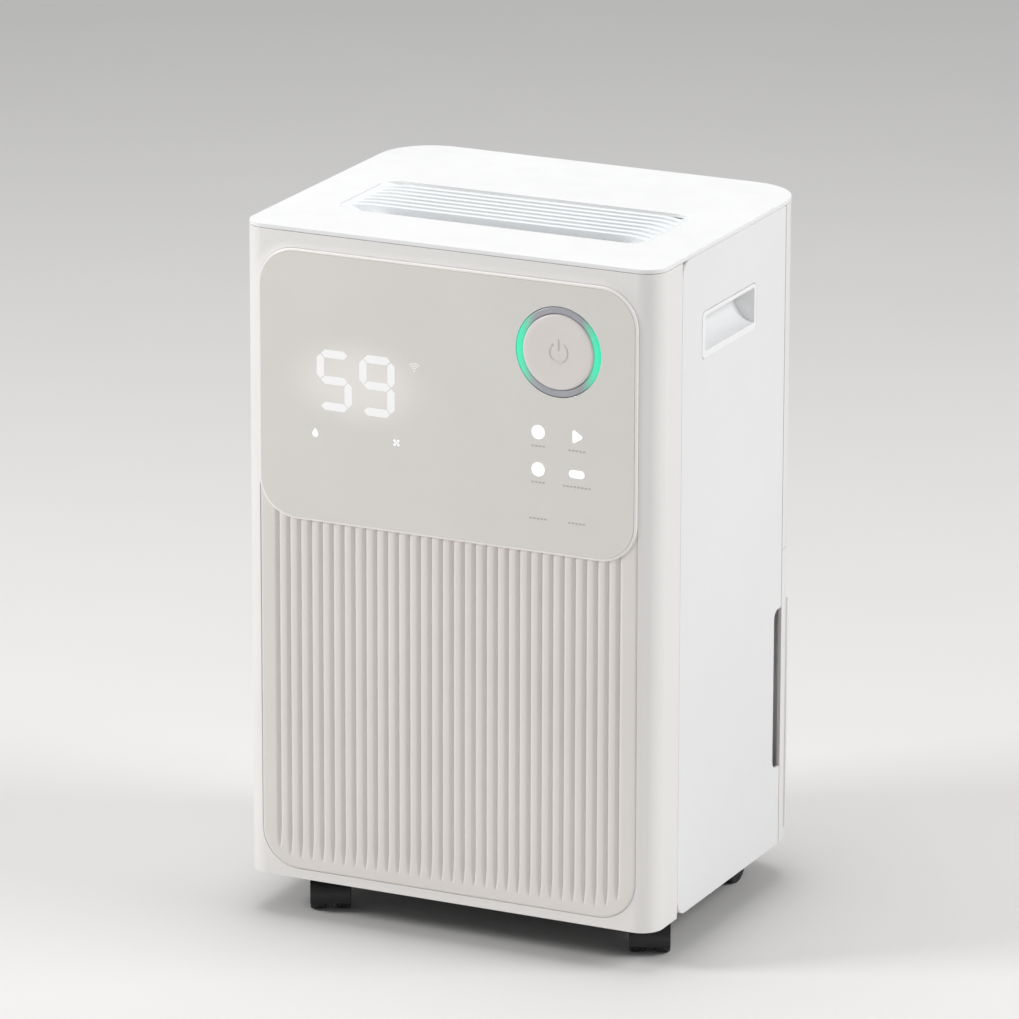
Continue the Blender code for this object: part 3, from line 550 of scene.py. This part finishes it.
def make_frame_lip():
    """The frame's slope up to the insert's edge; it ends twice as high beside the control panel."""
    reach = 0.0066
    gap = 0.0003
    height = 0.0006
    under = 0.00002
    panel_foot, panel_side = 0.298, 0.316
    steps = 12
    rings = []
    for k in range(steps + 1):
        share = k / steps
        ring = []
        for x, z in insert_edge(-reach + (reach - gap) * share):
            rise = height + height * ease(z, panel_foot, panel_side)
            back = frame_depth(x)
            ring.append((x, FACE_Y + under + back - (rise + back) * share ** 2, z))
        rings.append(ring)
    # The slope ends in a rounded edge and a short wall down the side of the recess.
    crest = [y for _, y, _ in rings[-1]]
    for inset, drop in ((-0.0002, 0.00008), (-0.0001, 0.0003), (-0.0001, 0.0016)):
        rings.append([(x, y + drop, z) for (x, z), y in zip(insert_edge(inset), crest)])
    lip = loft("front_frame_lip", rings, False)
    finish_piece(lip, WHITE, "body")


# --- The fluted insert ---------------------------------------------------------------------------

FLUTE_PITCH = 0.008
FLUTE_COUNT = 32
FLUTE_DEPTH = 0.00175
FLUTE_WIDTH = 0.00115
LAND_CROWN = 0.00040
# Just wider than the grooves' field, so that its outermost column belongs to it.
FLUTED_HALF_W = FLUTE_COUNT * FLUTE_PITCH / 2 + 0.0001
# The grooves start this far in from the outline, and reach full depth over this height.
FLUTE_FOOT = 0.0078
FLUTE_FADE = 0.0125
EDGE_R = 0.0017
# Distances in from the outline at which the grid follows the rounded edge.
EDGE_STEPS = (0.0, 0.00006, 0.0002, 0.0005, 0.0010, EDGE_R, 0.0024, 0.0040)


def insert_ends(x, inset):
    """The lowest point of the insert's outline at x, moved in by inset."""
    reach = abs(x) - (INSERT_HIGH.x - INSERT_R)
    if reach <= 0:
        return INSERT_LOW.z + inset
    return INSERT_LOW.z + INSERT_R - math.sqrt(max(0.0, (INSERT_R - inset) ** 2 - reach ** 2))


def edge_distance(x, z):
    """How far a point of the insert lies inside its outline, near the bottom and the sides."""
    side = INSERT_HIGH.x - abs(x)
    bottom = z - INSERT_LOW.z
    if side < INSERT_R and bottom < INSERT_R:
        return INSERT_R - math.hypot(INSERT_R - side, INSERT_R - bottom)
    return min(side, bottom)


def flute_relief(x, z):
    """How deep the insert's face lies below its highest plane: the grooves, their shallow crowned
    lands, and the rounded edge."""
    groove = (math.floor(x / FLUTE_PITCH) + 0.5) * FLUTE_PITCH
    away = abs(x - groove)
    relief = 0.0
    if abs(x) < FLUTED_HALF_W:
        rise = (z - insert_ends(groove, FLUTE_FOOT)) / FLUTE_FADE
        fade = math.sqrt(min(1.0, max(0.0, rise)))
        width = FLUTE_WIDTH * (0.25 + 0.75 * fade)
        relief = fade * (FLUTE_DEPTH * math.exp(-(away / width) ** 2)
                         + LAND_CROWN * (1 - away / (FLUTE_PITCH / 2)) ** 2)
    distance = edge_distance(x, z)
    if distance < EDGE_R:
        relief += EDGE_R - math.sqrt(max(0.0, EDGE_R ** 2 - (EDGE_R - distance) ** 2))
    return relief


def insert_columns():
    """The grid's columns: close together in each groove and over the rounded sides."""
    near = (0.0006, 0.0011, 0.0016, 0.0023, 0.0031)
    offsets = [-FLUTE_PITCH / 2, 0.0] + [side * step for step in near for side in (-1, 1)]
    middles = [FLUTE_PITCH * (k + 0.5) for k in range(-FLUTE_COUNT // 2, FLUTE_COUNT // 2)]
    rim = [INSERT_HIGH.x - step for step in (*EDGE_STEPS, 0.0065)]
    columns = [middle + step for middle in middles for step in offsets]
    columns = sorted(set(round(x, 6) for x in columns + rim + [-x for x in rim]))
    return [x for x in columns if abs(x) <= INSERT_HIGH.x]


def make_insert():
    """The insert's fluted face: a fine grid over its outline, with rounded edges and a skirt.

    It ends behind the control panel. Its rows are heights above the outline: they lie close
    together where the grooves begin, and far apart along their plain length.
    """
    foot_rows = (0.0060, 0.0072, 0.0077, 0.0080, 0.0084, 0.0089, 0.0096, 0.0104, 0.0113, 0.0123,
                 0.0134, 0.0146, 0.0159, 0.0173, 0.0188, 0.0204, 0.0225)
    plain_rows = (0.025, 0.030, 0.045, 0.080, 0.130, 0.190)
    top = 0.318
    proud = 0.0008
    back = INSERT_HIGH.y
    front = INSERT_LOW.y - proud
    work = bmesh.new()
    grid = []
    for x in insert_columns():
        low = insert_ends(x, 0)
        line = [work.verts.new((x, back, low))]
        for height in (*EDGE_STEPS, *foot_rows, *plain_rows, top):
            z = min(top, low + height)
            line.append(work.verts.new((x, front + flute_relief(x, z), z)))
        line.append(work.verts.new((x, back, top)))
        grid.append(line)
    for one, two in zip(grid, grid[1:]):
        for i in range(len(one)):
            j = (i + 1) % len(one)
            work.faces.new([one[i], two[i], two[j], one[j]])
    work.faces.new(grid[0])
    work.faces.new(grid[-1][::-1])
    bmesh.ops.remove_doubles(work, verts=work.verts, dist=0.0000005)
    panel = from_bmesh("fluted_insert", work, 60.0)
    finish_piece(panel, FLUTED, "body", ("fluted_panel",))


# --- The control panel ---------------------------------------------------------------------------

def make_panel():
    """The rounded rim, the glossy plate, the light ring and the power button."""
    make_plate()
    make_ring()
    make_cap()
    make_power_symbol()


def make_plate():
    """The panel's rim and the plate inside it; the rim is drawn wider than the frame's."""
    low = BEZEL_LOW.z
    front = BEZEL_LOW.y
    wide = GLASS_LOW.x - BEZEL_LOW.x + 0.0008
    steps = ((0.0, BEZEL_HIGH.y), (0.0, front + 0.0015), (0.0001, front + 0.0010),
             (0.0004, front + 0.0004), (0.0008, front + 0.0001), (0.0013, front - 0.0001),
             (wide - 0.00012, front), (wide - 0.00002, front + 0.0004),
             (wide - 0.00002, BEZEL_HIGH.y))
    rings = [[(x, y, z) for x, z in insert_edge(step, low)] for step, y in steps]
    rings.append(rings[0])
    bezel = loft("panel_rim", rings, False)
    finish_piece(bezel, BEZEL, "body", ("panel_bezel",))
    plate = extrude("touch_plate", insert_edge(wide, low), GLASS_Y, GLASS_HIGH.y, "Y",
                    [circle(BUTTON_X, BUTTON_Z, RING_R + 0.0004)])
    soften(plate, 0.00015, 3)
    finish_piece(plate, GLASS, "body", ("control_panel",))


def make_ring():
    """The light guide round the button."""
    inner = CAP_R + 0.00015
    depth = RING_HIGH.y
    rise = depth - RING_LOW.y
    ring = lathe("power_ring", [(inner, 0), (RING_R, 0), (RING_R, rise - 0.0008),
                                (RING_R - 0.0003, rise - 0.0003), (RING_R - 0.0009, rise),
                                (inner + 0.0009, rise - 0.0002), (inner + 0.0002, rise - 0.0008)],
                 (BUTTON_X, depth, BUTTON_Z), "Y", 128)
    finish_piece(ring, RING, "body", ("button_light_ring",))


def make_cap():
    """The button: a slightly dished cap on a stem."""
    face = 0.0036
    start = BUTTON_LOW.y + face
    stem = 0.006
    cap = lathe("power_cap", [(0, start - BUTTON_HIGH.y), (stem, start - BUTTON_HIGH.y), (stem, 0),
                              (CAP_R, 0), (CAP_R, face - 0.0012), (CAP_R - 0.0002, face - 0.0006),
                              (CAP_R - 0.0007, face - 0.00015), (CAP_R - 0.0015, face),
                              (CAP_R - 0.0050, face - 0.00005), (CAP_R * 0.5, face - 0.00020),
                              (0, face - 0.00025)],
                (BUTTON_X, start, BUTTON_Z), "Y", 128)
    finish_piece(cap, CAP, "button", ("power_button",))


def band(centre_x, centre_z, radius, width, start, end):
    """The outline of a curved stroke."""
    outer = arc(centre_x, centre_z, radius + width / 2, start, end, 40)
    return outer + arc(centre_x, centre_z, radius - width / 2, end, start, 40)


def make_power_symbol():
    """The raised on and off symbol on the button."""
    y = BUTTON_LOW.y
    stroke = 0.0013
    bar = rounded(BUTTON_X - stroke / 2, BUTTON_X + stroke / 2, BUTTON_Z + 0.0012,
                  BUTTON_Z + 0.0088, 0.0006, 4)
    symbol = extrude("power_symbol", band(BUTTON_X, BUTTON_Z, 0.0064, stroke, 125, 415),
                     y - 0.0002, y + 0.0006, "Y", [bar])
    soften(symbol, 0.00015, 2)
    finish_piece(symbol, SHADED_CAP_MARK, "button")


def segments(letters, low_x, high_x, low_z, high_z, width):
    """The lit bars of one seven-segment digit, as outlines."""
    half = width / 2
    left, right = low_x + half, high_x - half
    bottom, top = low_z + half, high_z - half
    middle = (bottom + top) / 2
    gap = 0.0005

    def level(z):
        return [(left + gap, z), (left + gap + half, z + half), (right - gap - half, z + half),
                (right - gap, z), (right - gap - half, z - half), (left + gap + half, z - half)]

    def upright(x, start, end):
        return [(x, start + gap), (x + half, start + gap + half), (x + half, end - gap - half),
                (x, end - gap), (x - half, end - gap - half), (x - half, start + gap + half)]

    bars = {"a": level(top), "g": level(middle), "d": level(bottom),
            "f": upright(left, middle, top), "b": upright(right, middle, top),
            "e": upright(left, bottom, middle), "c": upright(right, bottom, middle)}
    return [bars[letter] for letter in letters]


def printed(name, outlines, lift):
    """Thin flat shapes that stand out from the panel's face by lift."""
    return extrude(name, outlines[0], GLASS_Y - lift, GLASS_Y + 0.0002, "Y", outlines[1:])


def lit(name, outlines, material):
    """Shapes of the display that glow."""
    finish_piece(printed(name, outlines, 0.00012), material, "body")


def make_display():
    """The humidity reading, the lit icons and keys, and the printed legends."""
    make_reading()
    make_icons()
    make_keys()
    make_legends()


def make_reading():
    """Two seven-segment digits."""
    width, height, stroke = 0.0258, 0.0410, 0.0054
    low, high = DIGITS_Z - height / 2, DIGITS_Z + height / 2
    for name, letters, left in (("reading_tens", "afgcd", DIGITS_X - 0.0286),
                                ("reading_units", "abcdfg", DIGITS_X + 0.0026)):
        lit(name, segments(letters, left, left + width, low, high, stroke), DIGITS)


def make_icons():
    """The signal, drop and fan icons round the reading."""
    signal_x, signal_z = -0.0226, 0.3921
    arcs = [band(signal_x, signal_z, r, 0.0007, 45, 135) for r in (0.0020, 0.0035, 0.0050)]
    lit("signal_icon", arcs + [circle(signal_x, signal_z, 0.0006, 24)], FAINT_ICONS)
    drop_x, drop_z = -0.0949, 0.3407
    drop = [(drop_x, drop_z + 0.0039)] + arc(drop_x, drop_z, 0.0022, 150, 390, 30)
    lit("drop_icon", [drop], ICONS)
    fan_x, fan_z = -0.0355, 0.3418
    reach = 0.0018
    blades = []
    for turn in (45, 135, 225, 315):
        angle = math.radians(turn)
        blades.append(arc(fan_x + reach * math.cos(angle), fan_z + reach * math.sin(angle), 0.0009,
                          turn - 100, turn + 160, 16))
    lit("fan_icon", blades + [circle(fan_x, fan_z, 0.0007, 24)], ICONS)


def make_keys():
    """The four lit touch keys: two round ones, an arrow and a bar."""
    for name, z in (("key_round_upper", KEY_UPPER_Z), ("key_round_lower", KEY_LOWER_Z)):
        lit(name, [circle(KEY_LEFT_X, z, 0.0048, 48)], ICONS)
    arrow_z = KEY_UPPER_Z + 0.0001
    tail_x, tip_x = KEY_RIGHT_X - 0.0020, KEY_RIGHT_X + 0.0028
    rise, corner = 0.0031, 0.0012
    arrow = (arc(tail_x, arrow_z + rise, corner, 60, 180, 6)
             + arc(tail_x, arrow_z - rise, corner, 180, 300, 6)
             + arc(tip_x, arrow_z, corner, -60, 60, 6))
    lit("key_arrow", [arrow], ICONS)
    half_w, half_h = 0.0056, 0.0027
    lit("key_bar", [rounded(KEY_RIGHT_X - half_w, KEY_RIGHT_X + half_w, KEY_LOWER_Z - half_h,
                            KEY_LOWER_Z + half_h, 0.0026, 8)], ICONS)


def make_legends():
    """Rows of short printed dashes under the touch keys."""
    dash, step, half_h = 0.0018, 0.0026, 0.00055
    dashes = []
    for z, left_count, right_count in ((0.3526, 4, 5), (0.3282, 4, 8), (0.3036, 5, 5)):
        for x, count in ((KEY_LEFT_X, left_count), (KEY_RIGHT_X, right_count)):
            for i in range(count):
                start = x + (i - count / 2) * step + (step - dash) / 2
                dashes.append(rounded(start, start + dash, z - half_h, z + half_h, 0.0003, 3))
    finish_piece(printed("key_legends", dashes, 0.00006), LEGEND, "body")


# --- The outlet louvre ---------------------------------------------------------------------------

def make_louvre():
    """The outlet: seven vanes whose ends sweep forwards, a sloping cheek at each end, a throat."""
    gap = 0.0004
    top = TOP_Z - 0.0006
    make_vanes(LOUVRE_LOW.x + gap, LOUVRE_HIGH.x - gap, top)
    make_cheek("left", LOUVRE_LOW.x + gap, -1, top)
    make_cheek("right", LOUVRE_HIGH.x - gap, 1, top)
    make_throat()


def make_vanes(low_x, high_x, top):
    """Seven thin vanes across the outlet; their ends curve forwards and dip."""
    count, pitch, first = 7, 0.009, 0.0078
    depth, half = 0.0085, 0.00225
    section = [(-half + 0.0006, 0), (-half + 0.0002, -0.0002), (-half, -0.0007),
               (-half + 0.0004, -depth), (half - 0.0014, -depth), (half, -0.0007),
               (half - 0.0002, -0.0002), (half - 0.0006, 0)]
    curved, forwards, dip = 0.020, 0.0036, 0.0010
    steps = 48
    for i in range(count):
        middle = LOUVRE_HIGH.y - first - pitch * i
        rings = []
        for k in range(steps + 1):
            x = low_x + (high_x - low_x) * k / steps
            near = max(0.0, (abs(x) - (high_x - curved)) / curved)
            y = middle - forwards * near * near * (3 - 2 * near)
            z = top - dip * near * near
            rings.append([(x, y + dy, z + dz) for dy, dz in section])
        vane = loft("outlet_vane_%d" % (i + 1), rings)
        nodes = ("outlet_grille",) if i == 0 else ()
        finish_piece(vane, LOUVRE, "body", nodes)


def make_cheek(name, edge, side, top):
    """A slope at one end of the outlet, from the vanes' feet up to the cover."""
    ramp = [(edge + side * 0.0003, top + 0.0002), (edge + side * 0.0003, top - 0.0085),
            (edge - side * 0.0180, top - 0.0085), (edge - side * 0.0100, top - 0.0035),
            (edge - side * 0.0050, top - 0.0012), (edge - side * 0.0015, top - 0.0001)]
    cheek = extrude("outlet_cheek_" + name, ramp[::side], LOUVRE_LOW.y + 0.0008,
                    LOUVRE_HIGH.y - 0.0001, "Y")
    finish_piece(soften(cheek, 0.0002, 2), LOUVRE, "body")


def make_throat():
    """The wall that runs down from the outlet, under the cover."""
    wall, corner = 0.0016, 0.0135
    outer = rounded(LOUVRE_LOW.x, LOUVRE_HIGH.x, LOUVRE_LOW.y, LOUVRE_HIGH.y, corner)
    inner = rounded(LOUVRE_LOW.x + wall, LOUVRE_HIGH.x - wall, LOUVRE_LOW.y + wall,
                    LOUVRE_HIGH.y - wall, corner - wall)
    throat = extrude("outlet_throat", outer, LOUVRE_LOW.z, SEAM_Z - 0.0002, "Z", [inner])
    soften(throat, 0.0003, 2)
    finish_piece(throat, LOUVRE, "body")


# --- Casters -------------------------------------------------------------------------------------

def wheel_profile():
    """A wheel's section from side to side, as (radius, share of its half width).

    Each side has a hub cap in a recess, and the tread has three shallow grooves.
    """
    radius = 0.0125
    hub = [(0, -1.0), (0.0030, -1.0), (0.0034, -0.94), (0.0036, -0.84), (0.0062, -0.84),
           (0.0095, -0.86), (0.0099, -0.97), (0.0104, -1.0), (radius - 0.0008, -1.0),
           (radius - 0.0003, -0.95), (radius, -0.86)]
    tread = []
    for groove in (-0.45, 0.0, 0.45):
        tread += [(radius, groove - 0.12), (radius - 0.0004, groove - 0.07),
                  (radius - 0.0004, groove + 0.07), (radius, groove + 0.12)]
    return hub + tread + [(r, -share) for r, share in reversed(hub)]


def make_casters():
    """The casters' hoods, axles and wheels."""
    half_width = 0.005
    profile = [(r, share * half_width) for r, share in wheel_profile()]
    for name in ("front_left", "front_right", "rear_left", "rear_right"):
        dress("caster_" + name + "_fork", 0.0004, CASTER, "swivel_" + name, 3)
        paint("caster_" + name + "_axle", STEEL)
        centres = {}
        for letter in "ab":
            low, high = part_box("caster_" + name + "_wheel_" + letter)
            centres[letter] = (low + high) / 2
        along = (centres["b"] - centres["a"]).normalized()
        turn = Vector((0, 0, 1)).rotation_difference(along).to_matrix().to_4x4()
        for letter in "ab":
            wheel = lathe("caster_%s_tyre_%s" % (name, letter), profile, (0, 0, 0), "Z", 72, 40.0)
            wheel.data.transform(Matrix.Translation(centres[letter]) @ turn)
            finish_piece(wheel, TREAD, "wheel_%s_%s" % (name, letter),
                         ("caster_%s_wheel_%s" % (name, letter),))


# --- Rear fittings and the inside ----------------------------------------------------------------

def make_inside():
    """Better materials and softer edges for the parts behind the shell."""
    dress("water_tank", 0.0008, TANK, "tank", 2)
    dress("tank_lid", 0.0005, LOUVRE, "tank", 2)
    dress("tank_handle", 0.0005, HANDLE, "bail", 3)
    dress("cord_gland", 0.0005, RUBBER, "body", 3)
    dress("drain_nozzle", 0.0003, LOUVRE, "body", 2)
    dress("drain_cap", 0.0005, RUBBER, "drain_plug", 3)
    looks = {
        LOUVRE: ("drip_tray", "fan_scroll"),
        BLACK: ("button_switch", "base_tray", "bay_partition", "level_switch", "fan_impeller",
                "control_box"),
        RUBBER: ("compressor_foot_1", "compressor_foot_2", "compressor_foot_3"),
        FINS: ("evaporator", "condenser"),
        COPPER: ("suction_pipe", "discharge_pipe"),
        STEEL: ("motor_shaft", "fan_motor", "run_capacitor"),
        NET: ("filter_mesh",),
        BOARD: ("display_board",),
        FOAM: ("tank_float",),
        ENAMEL: ("compressor",),
    }
    for material, nodes in looks.items():
        for node in nodes:
            paint(node, material)


# --- Floor, light and camera ---------------------------------------------------------------------

def make_stage():
    """A pale floor, a soft surround, and three large soft lights."""
    half_size = 6.0
    work = bmesh.new()
    bmesh.ops.create_grid(work, x_segments=8, y_segments=8, size=half_size)
    floor = from_bmesh("studio_floor", work)
    floor.data.materials.append(floor_material())
    world = bpy.data.worlds.new("soft_surround")
    world.use_nodes = True
    background = world.node_tree.nodes["Background"]
    background.inputs["Color"].default_value = (0.985, 0.99, 1.0, 1.0)
    background.inputs["Strength"].default_value = 0.37
    bpy.context.scene.world = world
    make_light("key_light", (-2.3, -1.7, 1.9), 50.0, 0.9)
    make_light("top_light", (-0.3, 0.2, 2.8), 25.0, 1.6)
    make_light("side_light", (2.7, 0.5, 2.1), 48.0, 1.4)
    bpy.context.scene.view_settings.view_transform = "Standard"


def make_light(name, place, watts, width):
    """A square light that faces the middle of the object."""
    light = bpy.data.lights.new(name, "AREA")
    light.energy = watts
    light.size = width
    lamp = bpy.data.objects.new(name, light)
    lamp.location = place
    aim = Vector((0, 0, 0.25)) - Vector(place)
    lamp.rotation_euler = aim.to_track_quat("-Z", "Y").to_euler()
    bpy.context.scene.collection.objects.link(lamp)


def make_camera():
    """A long lens, from the front right and a little above."""
    place = (2.0487, -4.3320, 1.7006)
    turn, lift, roll = math.radians(25.45), math.radians(16.65), math.radians(0.13)
    back = Vector((math.sin(turn) * math.cos(lift), -math.cos(turn) * math.cos(lift),
                   math.sin(lift)))
    right = Vector((math.cos(turn), math.sin(turn), 0))
    up = back.cross(right)
    basis = Matrix((right, up, back)).transposed() @ Matrix.Rotation(roll, 3, "Z")
    data = bpy.data.cameras.new("camera")
    data.lens = 264.4
    data.sensor_width = 36.0
    camera = bpy.data.objects.new("camera", data)
    camera.matrix_world = Matrix.Translation(place) @ basis.to_4x4()
    bpy.context.scene.collection.objects.link(camera)
    bpy.context.scene.camera = camera


make_camera()
make_shell()
make_frame_lip()
make_insert()
make_panel()
make_display()
make_louvre()
make_casters()
make_inside()
make_stage()
